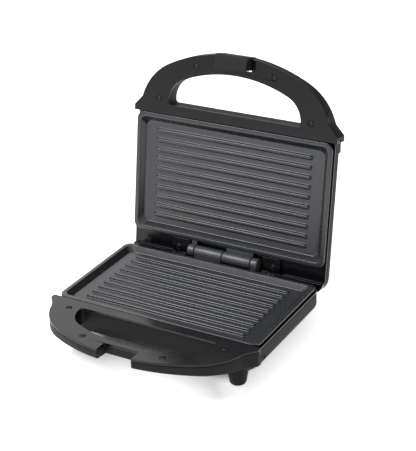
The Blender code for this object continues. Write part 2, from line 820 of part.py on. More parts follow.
def path_tube(name, points, radius, frame, finish):
    """A tube along points, in the half frame."""
    curve = bpy.data.curves.new(name, "CURVE")
    curve.dimensions = "3D"
    curve.bevel_depth = radius
    curve.bevel_resolution = 1
    curve.use_fill_caps = True
    spline = curve.splines.new("POLY")
    spline.points.add(len(points) - 1)
    for point, at in zip(spline.points, points):
        point.co = (*at, 1)
    made = bpy.data.objects.new(name, curve)
    parts.objects.link(made)
    return place(made, frame, finish)


def heating_element(name, frame):
    """A tubular heater bent into a loop, with both ends at the back."""
    x = plate_half - ELEMENT_SIDE_MARGIN - ELEMENT_BEND
    y = plate_back - ELEMENT_END_MARGIN - ELEMENT_BEND
    flat = [(ELEMENT_GAP_HALF, y + ELEMENT_BEND)]
    flat += arc((x, y), ELEMENT_BEND, math.pi, math.pi / 2, 4)
    flat += arc((x, -y), ELEMENT_BEND, math.pi / 2, 0, 4)
    flat += [(-a, b) for a, b in reversed(flat)]
    return path_tube(name, [(a, b, element_z) for a, b in flat], ELEMENT_RADIUS, frame, dark_steel)


def reflector(name, frame):
    """A folded sheet tray that keeps the heat off the shell."""
    half_x = plate_half - PLATE_RIM_WIDTH - REFLECTOR_MARGIN
    half_y = PLATE_DEPTH / 2 - PLATE_RIM_WIDTH - REFLECTOR_MARGIN
    top = plate_under - TOUCH
    made = block(name, (-half_x, -half_y, reflector_z), (half_x, half_y, top), parts, 0.005, 3)
    shape = bmesh.new()
    shape.from_mesh(made.data)
    lid = [f for f in shape.faces if f.calc_center_median().z > top - 1e-6]
    bmesh.ops.delete(shape, geom=lid, context="FACES")
    shape.to_mesh(made.data)
    shape.free()
    wall = made.modifiers.new("Sheet", "SOLIDIFY")
    wall.thickness = SHEET
    wall.offset = -1
    wall.use_even_offset = True
    for side, word in ((-1, "left"), (1, "right")):
        x = side * PLATE_SCREW_X
        hole = cylinder(
            f"{name}_hole_{word}", (x, 0, -0.05), (x, 0, 0), SCREW_RADIUS + TOUCH, segments=10
        )
        cut(made, put(hole, frame))
    window = cylinder(f"{name}_window", (0, 0, -0.05), (0, 0, 0), THERMOSTAT_RADIUS + 0.002, segments=20)
    cut(made, put(window, frame))
    return place(made, frame, sheet_steel)


def plate_screws(half, frame, mesh):
    """Two screws from below, through the reflector into the plate's posts."""
    for side, word in ((-1, "left"), (1, "right")):
        item = as_object(f"{half}_plate_screw_{word}", mesh)
        item.location = (side * PLATE_SCREW_X, 0, reflector_z - TOUCH)
        item.rotation_euler = (math.pi, 0, 0)
        item.parent = frame


def thermostat(name, frame):
    """A disc thermostat held against the plate's underside, with two blade terminals."""
    top = plate_under - TOUCH
    base = top - THERMOSTAT_HEIGHT
    profile = [
        (0.0, top),
        (THERMOSTAT_RADIUS, top),
        (THERMOSTAT_RADIUS, top - THERMOSTAT_FLANGE),
        (THERMOSTAT_RADIUS - 0.001, top - THERMOSTAT_FLANGE),
        (THERMOSTAT_RADIUS - 0.001, base),
        (0.0, base),
    ]
    made = turned(name, profile, (0, 0, 0), steps=16)
    for side in (-1, 1):
        thick, wide, tall = BLADE_SIZE
        low = (side * BLADE_X - thick / 2, -wide / 2, base - tall)
        blade = block(f"{name}_blade_{side}", low, (side * BLADE_X + thick / 2, wide / 2, base + 0.001))
        join(made, put(blade, frame))
    return place(made, frame, sheet_steel)


def thermal_fuse(name, frame):
    """A sleeved thermal fuse lying under the reflector."""
    x, y = FUSE_MIDDLE
    z = reflector_z - FUSE_DROP
    start, end = (x - FUSE_LENGTH / 2, y, z), (x + FUSE_LENGTH / 2, y, z)
    made = cylinder(name, start, end, FUSE_RADIUS, parts, segments=12)
    return place(made, frame, sleeve)


def fuse_clamp(name, frame):
    """A strap bent over the fuse, with a foot on each side against the reflector."""
    z = reflector_z - FUSE_DROP
    inner = FUSE_RADIUS + TOUCH
    outer = inner + SHEET
    top = FUSE_DROP - TOUCH
    half = [(CLAMP_FOOT, top - SHEET), (CLAMP_FOOT, top), (inner, top)]
    arch = arc((0, 0), inner, math.pi / 2, 0, 4)
    left = [(-a, b) for a, b in reversed(arch[:-1])]
    below = arc((0, 0), outer, 0, math.radians(72), 4)
    loop = half + arch + left + [(-a, b) for a, b in reversed(half)]
    loop += [(-a, b) for a, b in reversed(below[1:])] + below
    turn = Matrix.Translation((*FUSE_MIDDLE, z)) @ Matrix.Rotation(math.pi / 2, 4, "Z")
    turn = turn @ Matrix.Rotation(math.pi / 2, 4, "X")
    made = slab(name, [loop], -CLAMP_WIDTH / 2, CLAMP_WIDTH / 2, parts, turn)
    return place(made, frame, sheet_steel)


def terminal_block(name, frame):
    """A ceramic connector with a wire hole and a screw hole on each of three poles."""
    wide, deep, tall = TERMINAL_SIZE
    seat = TUB_FLOOR + WALL + TOUCH
    low, high = (-wide / 2, TERMINAL_Y - deep / 2, seat), (wide / 2, TERMINAL_Y + deep / 2, seat + tall)
    made = block(name, low, high, parts)
    z = high[2] - POLE_DROP
    for i in (-1, 0, 1):
        x = i * POLE_SPACING
        start, end = (x, TERMINAL_Y - deep, z), (x, TERMINAL_Y + deep, z)
        wire = cylinder(f"{name}_wire_{i}", start, end, WIRE_HOLE_RADIUS, segments=10)
        start, end = (x, TERMINAL_Y, z), (x, TERMINAL_Y, 0)
        clamp = cylinder(f"{name}_clamp_{i}", start, end, CLAMP_HOLE_RADIUS, segments=10)
        cut(made, put(wire, frame), put(clamp, frame))
    return place(made, frame, ceramic)


def cord_gland(name, frame, back):
    """The bush in the floor for a mains cord, with a collar on each side of the wall."""
    neck = CORD_RADIUS + GLAND_WALL
    collar = neck + GLAND_COLLAR
    profile = [
        (CORD_RADIUS, GLAND_HEIGHT),
        (neck - 0.0004, GLAND_HEIGHT),
        (neck, 0.0015 + TOUCH),
        (collar, 0.0012 + TOUCH),
        (collar, TOUCH),
        (neck, TOUCH),
        (neck, -WALL - TOUCH),
        (collar, -WALL - TOUCH),
        (collar - 0.0006, -WALL - 0.0018),
        (CORD_RADIUS, -WALL - 0.0018),
        (CORD_RADIUS, GLAND_HEIGHT),
    ]
    made = turned(name, profile, (GLAND_X, back - GLAND_INSIDE, TUB_FLOOR), parts, 16)
    made.rotation_euler = (math.pi, 0, 0)
    return place(made, frame, rubber)


def lead(name, frame, points):
    """One sleeved wire."""
    return path_tube(name, points, LEAD_RADIUS, frame, sleeve)


def lamp(frame, word, x, y, finish):
    """A neon lamp standing in its holder, under a coloured lens in the lid."""
    bulb_top = TUB_FLOOR + WALL + LAMP_GAP
    shoulder = [(0.0, 0.0), (LAMP_RADIUS * 0.7, -0.0004), (LAMP_RADIUS, -0.0016)]
    profile = shoulder + [(LAMP_RADIUS, -LAMP_LENGTH), (0.0, -LAMP_LENGTH)]
    bulb = turned(f"{word}_lamp", profile, (x, y, bulb_top), steps=12)
    bulb.rotation_euler = (math.pi, 0, 0)
    place(bulb, frame, glass)
    out = TUB_FLOOR - 0.0012
    lens = turned(
        f"{word}_lens",
        [
            (0.0, TUB_FLOOR + WALL * 0.7),
            (LENS_RADIUS - SLIDE / 2, TUB_FLOOR + WALL * 0.7),
            (LENS_RADIUS - SLIDE / 2, out + 0.0005),
            (LENS_RADIUS - 0.0012, out),
            (0.0, out),
        ],
        (x, y, 0),
        steps=16,
    )
    place(lens, frame, finish)


def lamp_holder(name, frame, y):
    """A small bracket that carries both lamps."""
    z = TUB_FLOOR + WALL + LAMP_GAP + LAMP_LENGTH + TOUCH
    half, deep = LENS_SPACING / 2 + LENS_RADIUS, HOLDER_WIDTH / 2
    made = block(name, (-half, y - deep, z), (half, y + deep, z + HOLDER_THICKNESS), parts)
    return place(made, frame, black_plastic)


def lens_holes(shell, frame, y):
    for side in (-1, 1):
        x = side * LENS_SPACING / 2
        hole = cylinder(f"lens_hole_{side}", (x, y, -0.05), (x, y, -0.02), LENS_RADIUS, segments=16)
        cut(shell, put(hole, frame))


def foot_pads(frame, back):
    floor = TUB_FLOOR - FOOT_HEIGHT
    for word, x, y in foot_places(back):
        profile = [
            (0.0, floor + PAD_THICKNESS),
            (PAD_RADIUS, floor + PAD_THICKNESS),
            (PAD_RADIUS, floor + 0.0003),
            (PAD_RADIUS - 0.0004, floor),
            (0.0, floor),
        ]
        place(turned(f"foot_pad_{word}", profile, (x, y, 0), steps=16), frame, rubber)


def latch_parts(shell):
    """The clip on the lid's handle, and the pin that it turns on."""
    lip_top = CLOSED_GAP - FACE + BEZEL_THICKNESS + TOUCH + 0.0001 + LATCH_PIVOT_DEPTH
    end = lip_top + LATCH_NOSE
    outer = -LATCH_PIVOT_INSIDE + TOUCH
    back = NOTCH_DEPTH - LATCH_PIVOT_INSIDE - SLIDE
    nose_tip = back + SLIDE + LATCH_REACH_IN
    rise = end - LATCH_BACK_HEIGHT
    section = [
        (outer, -LATCH_TOP),
        (outer + LATCH_WALL, -LATCH_TOP),
        (outer + LATCH_WALL, end - LATCH_WALL),
        (back - LATCH_WALL, end - LATCH_WALL),
        (back - LATCH_WALL, rise),
        (back, rise),
        (back, lip_top),
        (nose_tip, lip_top),
        (nose_tip, end - 0.0008),
        (nose_tip - 0.0008, end),
        (outer + LATCH_EDGE, end),
        (outer + LATCH_EDGE * 0.3, end - LATCH_EDGE * 0.3),
        (outer, end - LATCH_EDGE),
    ]
    # The section is drawn as (y, z), so it is stood up with its length along x.
    stand = Matrix(((0, 0, 1, 0), (1, 0, 0, 0), (0, 1, 0, 0), (0, 0, 0, 1)))
    half = LATCH_WIDTH / 2
    clip = slab("latch_clip", [section], -half, half, parts, stand)
    start, end_point = (-half + TOUCH, 0, 0), (half - TOUCH, 0, 0)
    barrel = cylinder("latch_barrel", start, end_point, LATCH_BARREL_RADIUS, segments=16)
    web_half = half - 2 * TOUCH
    low = (-web_half, outer + TOUCH * 2, -WEB_THICKNESS / 2)
    web = block("latch_web", low, (web_half, -0.001, WEB_THICKNESS / 2))
    start, end_point = (-FAR, 0, 0), (FAR, 0, 0)
    bore = cylinder("latch_bore", start, end_point, LATCH_PIN_RADIUS + PIN_FIT, segments=12)
    join(clip, put(web, latch_pivot), put(barrel, latch_pivot))
    cheek_front, cheek_back, cheek_low = outer + LATCH_WALL / 2, back - TOUCH, -LATCH_TOP + TOUCH
    cheek_high = end - LATCH_WALL / 2
    side_face = [
        (cheek_front, cheek_low),
        (cheek_back - LATCH_EDGE / 4, cheek_low),
        (cheek_back, cheek_low + LATCH_EDGE),
        (cheek_back, cheek_high),
        (cheek_front, cheek_high),
    ]
    for side in (-1, 1):
        ends = sorted((side * (half - TOUCH / 2), side * (half - LATCH_CHEEK)))
        cheek = slab(f"latch_cheek_{side}", [side_face], *ends, cutters, stand)
        join(clip, put(cheek, latch_pivot))
    cut(clip, put(bore, latch_pivot))
    place(clip, latch_pivot, black_plastic)

    reach = NOTCH_WIDTH / 2 + WALL
    low, high = (-reach, latch_y, latch_z), (reach, latch_y, latch_z)
    pin = cylinder("latch_pin", low, high, LATCH_PIN_RADIUS, parts, segments=12)
    place(pin, lid_frame, bright_steel)
    low, high = (-reach - WALL * 2, latch_y, latch_z), (reach + WALL * 2, latch_y, latch_z)
    hole = cylinder("latch_pin_hole", low, high, LATCH_PIN_RADIUS + PIN_FIT, segments=12)
    cut(shell, put(hole, lid_frame))


def hinge_pin():
    reach = hinge_reach - BARREL_SPACING / 2
    low, high = (-reach, hinge_y, hinge_z), (reach, hinge_y, hinge_z)
    place(cylinder("hinge_pin", low, high, PIN_RADIUS, parts, segments=16), base_frame, bright_steel)


def stop_ribs(shell, back):
    """Two low ribs on the base's rear wall, which the lid's rear edge meets when it is fully open."""
    reach, rise = lid_back - hinge_y, hinge_z - FACE
    lip_y = hinge_y + reach * math.cos(OPEN_ANGLE) + rise * math.sin(OPEN_ANGLE)
    lip_z = hinge_z - reach * math.sin(OPEN_ANGLE) + rise * math.cos(OPEN_ANGLE)
    half = STOP_RIB_SIZE / 2
    for side in (-1, 1):
        x = side * (body_half - STOP_RIB_INSIDE)
        low = (x - half, back - WALL / 2, lip_z - half)
        rib = block(f"stop_rib_{side}", low, (x + half, lip_y - TOUCH, lip_z + half))
        join(shell, put(rib, base_frame))


screw = screw_mesh()
base_back = plate_back + BASE_BEHIND_PLATE
lid_back = plate_back + LID_BEHIND_PLATE

base_places = screw_places(BASE_REAR_SCREW_BEHIND)
lid_places = screw_places(LID_REAR_SCREW_BEHIND)

base_taper = (BASE_SHOULDER, BASE_SIDE_INSET, 0.0)
lid_taper = (LID_SHOULDER, LID_SIDE_INSET, LID_REAR_INSET)

base_shell = half_shell("base_shell", base_frame, base_back, base_taper, base_places, True)
stop_ribs(base_shell, base_back)
gland_y = base_back - GLAND_INSIDE
gland_hole = cylinder(
    "gland_hole",
    (GLAND_X, gland_y, TUB_FLOOR - 0.01),
    (GLAND_X, gland_y, TUB_FLOOR + 0.01),
    CORD_RADIUS + GLAND_WALL + TOUCH,
    segments=20,
)
cut(base_shell, put(gland_hole, base_frame))
bezel("base_bezel", base_frame, base_back, base_places, False)
bezel_screws("base", base_frame, base_places, screw)
grill_plate("lower_grill_plate", base_frame)
heating_element("lower_heating_element", base_frame)
reflector("lower_reflector", base_frame)
plate_screws("lower", base_frame, screw)
thermostat("thermostat", base_frame)
terminal_block("terminal_block", base_frame)
lead_z = TUB_FLOOR + WALL + TOUCH + TERMINAL_SIZE[2] - POLE_DROP
pole = (-POLE_SPACING, TERMINAL_Y - 0.0025, lead_z)
blade = (-BLADE_X, BLADE_SIZE[1] / 2 + TOUCH, lead_z)
bends = [(-POLE_SPACING, TERMINAL_Y - 0.011, lead_z), (-BLADE_X, 0.012, lead_z)]
lead("base_lead", base_frame, [pole, *bends, blade])
cord_gland("cord_gland", base_frame, base_back)
foot_pads(base_frame, base_back)
hinge_pin()

lid_shell = half_shell("lid_shell", lid_frame, lid_back, lid_taper, lid_places, False)
bezel("lid_bezel", lid_frame, lid_back, lid_places, True)
bezel_screws("lid", lid_frame, lid_places, screw)
grill_plate("upper_grill_plate", lid_frame)
heating_element("upper_heating_element", lid_frame)
reflector("upper_reflector", lid_frame)
plate_screws("upper", lid_frame, screw)
thermal_fuse("thermal_fuse", lid_frame)
fuse_clamp("fuse_clamp", lid_frame)
lamp_y = plate_front + LAMP_BEHIND_FRONT
lens_holes(lid_shell, lid_frame, lamp_y)
lamp(lid_frame, "power", LENS_SPACING / 2, lamp_y, red_lens)
lamp(lid_frame, "ready", -LENS_SPACING / 2, lamp_y, green_lens)
lamp_holder("lamp_holder", lid_frame, lamp_y)
lead_z = reflector_z - FUSE_DROP
fuse_x, fuse_y = FUSE_MIDDLE
fuse_end = (fuse_x + FUSE_LENGTH / 2 + TOUCH, fuse_y, lead_z)
holder = (0.004, lamp_y + HOLDER_WIDTH / 2 + TOUCH, lead_z)
bends = [(-0.006, fuse_y, lead_z), (0.0, 0.012, lead_z), (holder[0], holder[1] + 0.005, lead_z)]
lead("lid_lead", lid_frame, [fuse_end, *bends, holder])
latch_parts(lid_shell)

weld(base_shell)
weld(lid_shell)
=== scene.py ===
# A panini press standing open on a pale worktop: the CAD frame with its final surfaces and light.
import json
import math

import bmesh
import bpy
from mathutils import Matrix, Vector

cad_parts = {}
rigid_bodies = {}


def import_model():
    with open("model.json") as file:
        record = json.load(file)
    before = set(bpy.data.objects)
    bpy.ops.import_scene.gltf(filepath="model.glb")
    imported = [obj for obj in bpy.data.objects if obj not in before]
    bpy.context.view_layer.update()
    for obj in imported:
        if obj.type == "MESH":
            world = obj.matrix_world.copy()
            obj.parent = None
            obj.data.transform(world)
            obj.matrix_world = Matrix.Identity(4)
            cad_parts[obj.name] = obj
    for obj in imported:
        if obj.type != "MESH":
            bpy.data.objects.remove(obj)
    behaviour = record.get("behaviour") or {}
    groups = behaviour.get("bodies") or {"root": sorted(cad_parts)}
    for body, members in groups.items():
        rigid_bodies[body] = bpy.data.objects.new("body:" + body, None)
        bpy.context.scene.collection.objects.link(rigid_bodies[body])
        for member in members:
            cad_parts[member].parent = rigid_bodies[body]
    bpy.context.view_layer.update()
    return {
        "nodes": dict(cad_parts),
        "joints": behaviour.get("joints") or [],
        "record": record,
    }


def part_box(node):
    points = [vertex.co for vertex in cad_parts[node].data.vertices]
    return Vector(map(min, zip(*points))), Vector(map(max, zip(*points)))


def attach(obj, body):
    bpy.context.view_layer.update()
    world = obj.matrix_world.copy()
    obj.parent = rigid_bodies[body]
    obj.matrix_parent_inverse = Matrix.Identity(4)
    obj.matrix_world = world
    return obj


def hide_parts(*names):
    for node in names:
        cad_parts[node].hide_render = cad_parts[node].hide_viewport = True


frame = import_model()
print("frame loaded:", len(frame["nodes"]), "nodes")

for old in list(bpy.data.objects):
    if old.type in ("CAMERA", "LIGHT"):
        bpy.data.objects.remove(old)


# shader building


def socketOf(value):
    return value.out if isinstance(value, Wave) else value


class Wave:
    # One socket that carries a number, so that masks and heights read as plain sums.
    def __init__(self, paint, out):
        self.paint = paint
        self.out = out

    def combine(self, kind, other, swap=False):
        pair = (other, self) if swap else (self, other)
        return self.paint.node("ShaderNodeMath", {"operation": kind}, {0: pair[0], 1: pair[1]})

    def __add__(self, other):
        return self.combine("ADD", other)

    def __radd__(self, other):
        return self.combine("ADD", other, True)

    def __sub__(self, other):
        return self.combine("SUBTRACT", other)

    def __rsub__(self, other):
        return self.combine("SUBTRACT", other, True)

    def __mul__(self, other):
        return self.combine("MULTIPLY", other)

    def __rmul__(self, other):
        return self.combine("MULTIPLY", other, True)

    def most(self, other):
        return self.combine("MAXIMUM", other)

    def size(self):
        return self.paint.node("ShaderNodeMath", {"operation": "ABSOLUTE"}, {0: self})

    def above(self, edge, width):
        # 0 below the edge, 1 above it, with a soft step of the given width
        settings = {"interpolation_type": "SMOOTHSTEP"}
        values = {"Value": self, "From Min": edge - width / 2, "From Max": edge + width / 2}
        return self.paint.node("ShaderNodeMapRange", settings, values)


class Paint:
    # One material and the nodes that feed its Principled shader.
    def __init__(self, name, base, roughness, metallic=0.0):
        self.material = bpy.data.materials.new(name)
        self.material.use_nodes = True
        self.tree = self.material.node_tree
        self.shader = self.tree.nodes["Principled BSDF"]
        self.shader.inputs["Base Color"].default_value = (*base, 1.0)
        self.shader.inputs["Roughness"].default_value = roughness
        self.shader.inputs["Metallic"].default_value = metallic
        self.place = self.node("ShaderNodeTexCoord", {}, {}, "Object").out

    def node(self, kind, settings, values, output=0):
        made = self.tree.nodes.new(kind)
        for key, value in settings.items():
            setattr(made, key, value)
        for key, value in values.items():
            value = socketOf(value)
            if isinstance(value, bpy.types.NodeSocket):
                self.tree.links.new(value, made.inputs[key])
            else:
                made.inputs[key].default_value = value
        return Wave(self, made.outputs[output])

    def noise(self, scale, detail=3.0, rough=0.55, stretch=None):
        place = self.place
        if stretch:
            place = self.node("ShaderNodeMapping", {}, {"Vector": place, "Scale": stretch})
        values = {"Vector": place, "Scale": scale, "Detail": detail, "Roughness": rough}
        return self.node("ShaderNodeTexNoise", {}, values)

    def cells(self, scale):
        values = {"Vector": self.place, "Scale": scale}
        return self.node("ShaderNodeTexVoronoi", {}, values, "Distance")

    def axis(self, letter):
        return self.node("ShaderNodeSeparateXYZ", {}, {"Vector": self.place}, letter.upper())

    def mix(self, mask, low, high):
        # sockets 0, 6 and 7 take the factor and the two colours, and output 2 gives the colour
        low = low if isinstance(low, Wave) else (*low, 1.0)
        high = high if isinstance(high, Wave) else (*high, 1.0)
        return self.node("ShaderNodeMix", {"data_type": "RGBA"}, {0: mask, 6: low, 7: high}, 2)

    def feed(self, name, wave):
        self.tree.links.new(wave.out, self.shader.inputs[name])

    def colour(self, wave):
        self.feed("Base Color", wave)

    def roughness(self, wave):
        self.feed("Roughness", wave)

    def metallic(self, wave):
        self.feed("Metallic", wave)

    def bump(self, height, distance, strength):
        values = {"Height": height, "Distance": distance, "Strength": strength}
        self.feed("Normal", self.node("ShaderNodeBump", {}, values))

    def fixed(self, **values):
        for key, value in values.items():
            self.shader.inputs[key.replace("_", " ")].default_value = value
        return self


# finishes

tones = {
    "shell": (0.0034, 0.0034, 0.0036),
    "shellWorn": (0.0060, 0.0060, 0.0062),
    "clip": (0.0120, 0.0120, 0.0124),
    "clipWorn": (0.0190, 0.0190, 0.0195),
    "face": (0.0026, 0.0029, 0.0040),
    "faceHaze": (0.0050, 0.0054, 0.0070),
    "coating": (0.0200, 0.0218, 0.0260),
    "coatingDark": (0.0110, 0.0120, 0.0145),
    "coatingFleck": (0.060, 0.064, 0.071),
    "casting": (0.066, 0.068, 0.072),
    "brightSteel": (0.56, 0.56, 0.54),
    "darkSteel": (0.060, 0.060, 0.062),
    "sheath": (0.15, 0.145, 0.14),
    "tinned": (0.50, 0.51, 0.52),
    "rubber": (0.013, 0.013, 0.013),
    "rubberDust": (0.040, 0.039, 0.037),
    "sleeve": (0.70, 0.68, 0.60),
    "sleeveDark": (0.42, 0.40, 0.34),
    "clay": (0.78, 0.76, 0.70),
    "red": (0.55, 0.012, 0.010),
    "green": (0.015, 0.34, 0.05),
    "lampGlass": (0.80, 0.55, 0.35),
}


def mouldedPlastic(name, fresh, worn):
    # spark-eroded satin grain, a little rubbed where hands go
    paint = Paint(name, fresh, 0.46)
    rubbed = paint.noise(38.0, 4.0).above(0.62, 0.25)
    paint.colour(paint.mix(rubbed * 0.25, fresh, worn))
    grain = paint.noise(3400.0, 2.0, 0.6)
    pits = paint.cells(2300.0)
    paint.roughness(0.50 - rubbed * 0.03 + grain * 0.05)
    paint.bump(grain * 0.7 + pits * 0.5, 0.00006, 0.8)
    return paint.fixed(IOR=1.27)


def polishedPlastic():
    # high-gloss face with faint haze from wiping
    paint = Paint("polishedPlastic", tones["face"], 0.14)
    haze = paint.noise(26.0, 5.0, 0.6).above(0.55, 0.35)
    wiped = paint.noise(150.0, 3.0, 0.5, (1.0, 7.0, 1.0)).above(0.60, 0.2)
    paint.colour(paint.mix(haze * 0.4, tones["face"], tones["faceHaze"]))
    paint.roughness(0.15 + haze * 0.06 + wiped * 0.035)
    paint.bump(paint.noise(170.0, 1.0), 0.00005, 0.35)
    return paint.fixed(IOR=1.38)


def coatedCasting(name, letter, edge):
    # grey flecked non-stick coating, bare and lighter on the hinge knuckles behind the plate
    paint = Paint(name, tones["coating"], 0.42, 0.25)
    flecks = paint.cells(900.0).above(0.20, 0.16)
    cloud = paint.noise(60.0, 5.0, 0.6)
    skin = paint.mix(cloud, tones["coatingDark"], tones["coating"])
    skin = paint.mix((1.0 - flecks) * 0.55, skin, tones["coatingFleck"])
    bare = paint.axis(letter).above(edge, 0.0006)
    if letter == "z":
        bare = 1.0 - bare
    paint.colour(paint.mix(bare, skin, tones["casting"]))
    peel = paint.noise(1300.0, 3.0, 0.6)
    paint.roughness(0.19 + cloud * 0.08 + flecks * 0.04 + bare * 0.08)
    paint.metallic(0.04 + bare * 0.36)
    paint.bump(peel * 0.8 + flecks * 0.3, 0.00003, 0.35)
    return paint.fixed(IOR=1.60)


def steel(name, base, roughness, stretch):
    # drawn or pressed metal: fine lines one way and a few darker clouds
    paint = Paint(name, base, roughness, 1.0)
    lines = paint.noise(500.0, 3.0, 0.6, stretch)
    cloud = paint.noise(90.0, 4.0)
    paint.colour(paint.mix(cloud * 0.6, base, tuple(c * 0.6 for c in base)))
    paint.roughness(roughness - 0.06 + lines * 0.14)
    paint.bump(lines, 0.00002, 0.5)
    return paint


def softRubber():
    paint = Paint("softRubber", tones["rubber"], 0.85)
    dust = paint.noise(240.0, 5.0).above(0.58, 0.2)
    paint.colour(paint.mix(dust * 0.7, tones["rubber"], tones["rubberDust"]))
    paint.roughness(0.78 + dust * 0.14)
    paint.bump(paint.noise(2600.0), 0.00004, 0.6)
    return paint


def wovenSleeve():
    paint = Paint("wovenSleeve", tones["sleeve"], 0.85)
    weave = paint.cells(1500.0)
    paint.colour(paint.mix(weave, tones["sleeveDark"], tones["sleeve"]))
    paint.roughness(0.78 + weave * 0.15)
    paint.bump(weave, 0.00012, 0.9)
    return paint


def firedClay():
    paint = Paint("firedClay", tones["clay"], 0.62)
    specks = paint.noise(900.0, 4.0).above(0.66, 0.1)
    paint.colour(paint.mix(specks * 0.6, tones["clay"], tones["sleeveDark"]))
    paint.roughness(0.55 + specks * 0.2)
    paint.bump(paint.noise(1500.0), 0.00004, 0.6)
    return paint


def clearTint(name, base):
    # coloured clear plastic with a moulded ripple
    paint = Paint(name, base, 0.10)
    ripple = paint.cells(700.0)
    paint.colour(paint.mix(ripple, tuple(c * 0.45 for c in base), base))
    paint.roughness(0.07 + ripple * 0.10)
    paint.bump(ripple, 0.00010, 0.6)
    return paint.fixed(IOR=1.49, Coat_Weight=0.5)


# half frames

press = {
    "closedGap": 0.004,
    "plateDepth": 0.125,
}

hinge = next(joint for joint in frame["joints"] if joint["name"] == "lid_hinge")
hingeAt = Vector(hinge["pos_m"])
openAngle = math.radians(hinge["range_deg"][1])
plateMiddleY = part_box("lower_grill_plate")[0].y + press["plateDepth"] / 2
rimHeight = hingeAt.z - press["closedGap"] / 2
hingeY = hingeAt.y - plateMiddleY
hingeZ = press["closedGap"] / 2

# in a half frame z = 0 is the plate's rim and the outside of the half is below it
basePlace = Matrix.Translation((0, plateMiddleY, rimHeight))
lidPlace = (
    Matrix.Translation(hingeAt)
    @ Matrix.Rotation(-openAngle, 4, "X")
    @ Matrix.Translation((0, -hingeY, hingeZ))
    @ Matrix.Rotation(math.pi, 4, "Y")
)
places = {"base": basePlace, "lid": lidPlace}

paints = {
    "black_plastic": mouldedPlastic("mouldedPlastic", tones["shell"], tones["shellWorn"]),
    "gloss_black_plastic": polishedPlastic(),
    "bright_steel": steel("brightSteel", tones["brightSteel"], 0.30, (0.2, 4.0, 4.0)),
    "dark_steel": steel("darkSteel", tones["darkSteel"], 0.36, (1.0, 1.0, 1.0)),
    "element_steel": steel("heaterSheath", tones["sheath"], 0.42, (1.0, 1.0, 1.0)),
    "sheet_steel": steel("tinnedSheet", tones["tinned"], 0.40, (0.3, 3.0, 3.0)),
    "black_rubber": softRubber(),
    "woven_sleeve": wovenSleeve(),
    "white_ceramic": firedClay(),
    "red_lens": clearTint("redLens", tones["red"]),
    "green_lens": clearTint("greenLens", tones["green"]),
    "lamp_glass": clearTint("lampGlass", tones["lampGlass"]),
}
clipPlastic = mouldedPlastic("clipPlastic", tones["clip"], tones["clipWorn"])
bareFrom = {"base": 0.0072, "lid": 0.0082}
castings = {
    "base": coatedCasting("lowerCasting", "y", hingeAt.y - bareFrom["base"]),
    "lid": coatedCasting("upperCasting", "z", hingeAt.z + bareFrom["lid"]),
}

# every CAD node first takes its slot's finish; shaped pieces below then stand for the visible ones
for row in frame["record"]["subparts"]:
    node = frame["nodes"][row["node"]]
    paint = paints.get(row["material_slot"], castings["base"])
    if not node.data.materials:
        node.data.materials.append(paint.material)
    for held in node.material_slots:
        held.material = paint.material
print("finishes made:", len(paints) + len(castings))


# shaping


shaping = {
    "weld": 0.00001,
    "fineWeld": 0.000005,
    "flatAngle": math.radians(0.8),
    "normalWeight": 90,
}


def settle(shape, name, body, paint, nodes, place=None, crease=40, weighted=False):
    # a finished bmesh becomes a piece that stands for CAD nodes and rides on their body
    if place:
        bmesh.ops.transform(shape, matrix=place, verts=shape.verts)
    mesh = bpy.data.meshes.new(name)
    shape.to_mesh(mesh)
    shape.free()
    mesh.materials.append(paint.material)
    mesh.shade_smooth()
    mesh.set_sharp_from_angle(angle=math.radians(crease))
    made = bpy.data.objects.new(name, mesh)
    bpy.context.scene.collection.objects.link(made)
    if weighted:
        normals = made.modifiers.new("Flat faces stay flat", "WEIGHTED_NORMAL")
        normals.keep_sharp = True
        normals.weight = shaping["normalWeight"]
    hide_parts(*nodes)
    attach(made, body)
    return made


def softened(node, body, slotName, width, paint=None, over=32):
    # a merged copy of a CAD node with its sharp edges broken
    shape = bmesh.new()
    shape.from_mesh(frame["nodes"][node].data)
    bmesh.ops.remove_doubles(shape, verts=shape.verts, dist=shaping["weld"])
    flat = shaping["flatAngle"]
    bmesh.ops.dissolve_limit(shape, angle_limit=flat, verts=shape.verts, edges=shape.edges)
    sharp = [e for e in shape.edges if e.is_manifold and e.calc_face_angle() > math.radians(over)]
    bmesh.ops.bevel(
        shape,
        geom=sharp,
        offset=width,
        offset_type="WIDTH",
        segments=2,
        profile=0.5,
        affect="EDGES",
        clamp_overlap=False,
        loop_slide=False,
        miter_outer="ARC",
        material=-1,
    )
    bmesh.ops.remove_doubles(shape, verts=shape.verts, dist=shaping["weld"])
    paint = paint or paints[slotName]
    name = node + "_finished"
    return settle(shape, name, body, paint, [node], crease=44, weighted=True)


def roundedRing(shape, halfX, halfY, corner, z, steps):
    # the edges of one flat rounded rectangle
    before = set(shape.edges)
    verts = bmesh.ops.create_grid(shape, x_segments=1, y_segments=1, size=1.0)["verts"]
    bmesh.ops.scale(shape, vec=(halfX, halfY, 1.0), verts=verts)
    bmesh.ops.translate(shape, vec=(0, 0, z), verts=verts)
    bmesh.ops.bevel(
        shape,
        geom=verts,
        offset=corner,
        segments=steps,
        profile=0.5,
        affect="VERTICES",
        material=-1,
    )
    edges = [e for e in shape.edges if e not in before]
    faces = list({f for e in edges for f in e.link_faces})
    bmesh.ops.delete(shape, geom=faces, context="FACES_ONLY")
    return edges


def stack(shape, rings, steps, centre=(0, 0, 0)):
    # a solid from flat rings (halfX, halfY, corner, z), closed at its first and last ring
    before = set(shape.verts)
    loops = [roundedRing(shape, *ring, steps) for ring in rings]
    for low, high in zip(loops, loops[1:]):
        bmesh.ops.bridge_loops(shape, edges=low + high)
    bmesh.ops.edgeloop_fill(shape, edges=loops[0])
    bmesh.ops.edgeloop_fill(shape, edges=loops[-1])
    made = [v for v in shape.verts if v not in before]
    bmesh.ops.translate(shape, vec=centre, verts=made)


